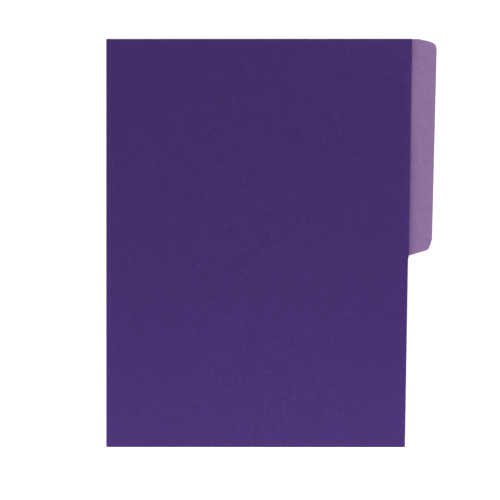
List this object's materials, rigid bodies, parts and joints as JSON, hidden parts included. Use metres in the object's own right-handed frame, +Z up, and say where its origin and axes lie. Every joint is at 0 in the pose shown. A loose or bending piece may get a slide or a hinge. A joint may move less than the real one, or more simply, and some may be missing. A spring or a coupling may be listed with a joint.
{
  "type": "file folder",
  "caption": "Letter-size card file folder with a half-cut index tab: two leaves joined along a rounded fold, lying closed and opening flat.",
  "frame": {"origin": "centre of the folder's footprint, on the surface that it lies on", "axes": "+X from the fold to the free edges and the tab, +Y along the fold towards the tabbed end, +Z up through the closed folder, away from the surface"},
  "size_m": [0.2416, 0.2984, 0.0037],
  "materials": {
    "outer_card": "matte",
    "inner_card": "matte"
  },
  "bodies": {
    "back_leaf": {"back_leaf_outer_ply": "outer_card", "back_leaf_inner_ply": "inner_card", "fold_outer_ply": "outer_card", "fold_inner_ply": "inner_card"},
    "front_leaf": {"front_leaf_outer_ply": "outer_card", "front_leaf_inner_ply": "inner_card"}
  },
  "joints": [
    {"name": "fold_hinge", "type": "hinge", "parent": "back_leaf", "child": "front_leaf", "pos_m": [-0.12014, 0, 0.0007], "axis": [0, -1, 0], "range_deg": [0, 179.4], "deforming": ["fold_outer_ply", "fold_inner_ply"]}
  ]
}
